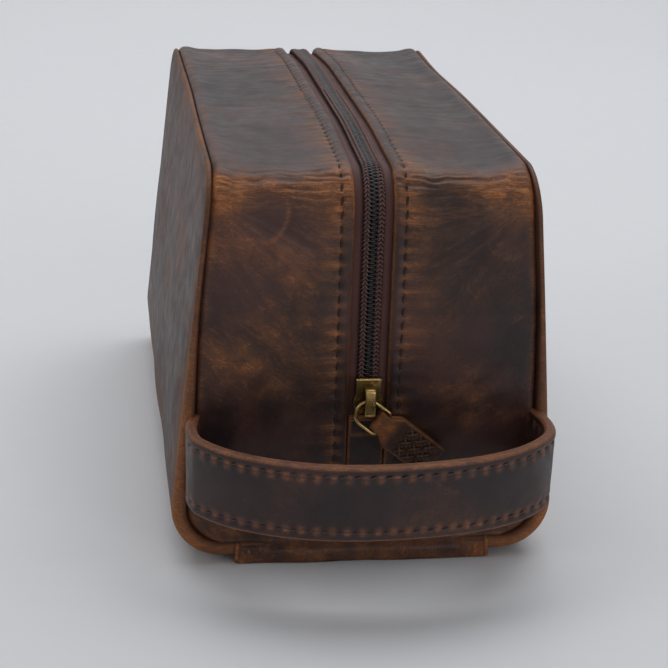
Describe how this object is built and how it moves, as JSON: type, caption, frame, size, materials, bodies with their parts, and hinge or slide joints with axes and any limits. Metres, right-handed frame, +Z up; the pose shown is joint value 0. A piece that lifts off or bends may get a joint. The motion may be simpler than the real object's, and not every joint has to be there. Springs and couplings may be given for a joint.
{
  "type": "toiletry bag",
  "caption": "Leather box-shaped toiletry bag with a zip over the top and down both ends, a leather zip pull and a sewn handle loop on one end.",
  "frame": {"origin": "middle of the base, on the surface the bag stands on", "axes": "+Z up, +X to the right when the handle end faces the viewer, +Y along the bag away from the handle end"},
  "size_m": [0.1368, 0.2945, 0.143],
  "materials": {
    "bag_leather": "waxed pull-up, worn lighter at folds and seams",
    "strap_leather": "waxed pull-up, light brown at the edges",
    "lining_cloth": "plain woven",
    "base_board": "matte",
    "zip_tape": "woven tape",
    "zip_coil": "nylon, slightly glossy",
    "antique_brass": "antiqued, polished on the raised edges"
  },
  "bodies": {
    "shell": {"side_panel_left": "bag_leather", "side_panel_right": "bag_leather", "base_panel": "bag_leather", "base_board": "base_board", "end_panel_near_left": "bag_leather", "end_panel_near_right": "bag_leather", "end_panel_far_left": "bag_leather", "end_panel_far_right": "bag_leather", "lining_tub": "lining_cloth", "zip_tape_near_left": "zip_tape", "zip_tape_near_right": "zip_tape", "zip_tape_far_left": "zip_tape", "zip_tape_far_right": "zip_tape", "zip_coil_near_left": "zip_coil", "zip_coil_near_right": "zip_coil", "zip_coil_far_left": "zip_coil", "zip_coil_far_right": "zip_coil", "zip_stop_near_left": "antique_brass", "zip_stop_near_right": "antique_brass", "zip_stop_far": "antique_brass", "zip_end_cover_near": "bag_leather", "zip_end_cover_far": "bag_leather", "handle_anchor_left": "strap_leather", "handle_anchor_right": "strap_leather"},
    "left_lip": {"top_panel_left": "bag_leather", "top_lining_left": "lining_cloth", "zip_tape_top_left": "zip_tape", "zip_coil_top_left": "zip_coil"},
    "right_lip": {"top_panel_right": "bag_leather", "top_lining_right": "lining_cloth", "zip_tape_top_right": "zip_tape", "zip_coil_top_right": "zip_coil"},
    "slider": {"slider_body": "antique_brass", "slider_bridge": "antique_brass"},
    "ring": {"pull_ring": "antique_brass"},
    "pull": {"pull_leather": "strap_leather"},
    "handle": {"handle_outer": "strap_leather", "handle_inner": "strap_leather"}
  },
  "joints": [
    {"name": "zip_slide", "type": "slide", "parent": "shell", "child": "slider", "axis": [0, 0, 1], "range_m": [0, 0.057]},
    {"name": "ring_lift", "type": "hinge", "parent": "slider", "child": "ring", "pos_m": [0, -0.1271, 0.062], "axis": [-1, 0, 0], "range_deg": [0, 150]},
    {"name": "pull_flap", "type": "hinge", "parent": "ring", "child": "pull", "pos_m": [0.00512, -0.1271, 0.0532], "axis": [-0.6157, 0, -0.788], "range_deg": [0, 30]},
    {"name": "handle_flex", "type": "hinge", "parent": "shell", "child": "handle", "pos_m": [0, -0.122, 0.0425], "axis": [-1, 0, 0], "range_deg": [-15, 15], "stiffness_Nm_per_rad": 0.15, "springref_deg": 2.58},
    {"name": "left_lip_open", "type": "hinge", "parent": "shell", "child": "left_lip", "pos_m": [-0.0565, 0, 0.141], "axis": [0, -1, 0], "range_deg": [0, 60]},
    {"name": "right_lip_open", "type": "hinge", "parent": "shell", "child": "right_lip", "pos_m": [0.0565, 0, 0.141], "axis": [0, 1, 0], "range_deg": [0, 60]}
  ],
  "couplings": [
    {"joint": "right_lip_open", "follows": "left_lip_open", "ratio": 1}
  ]
}
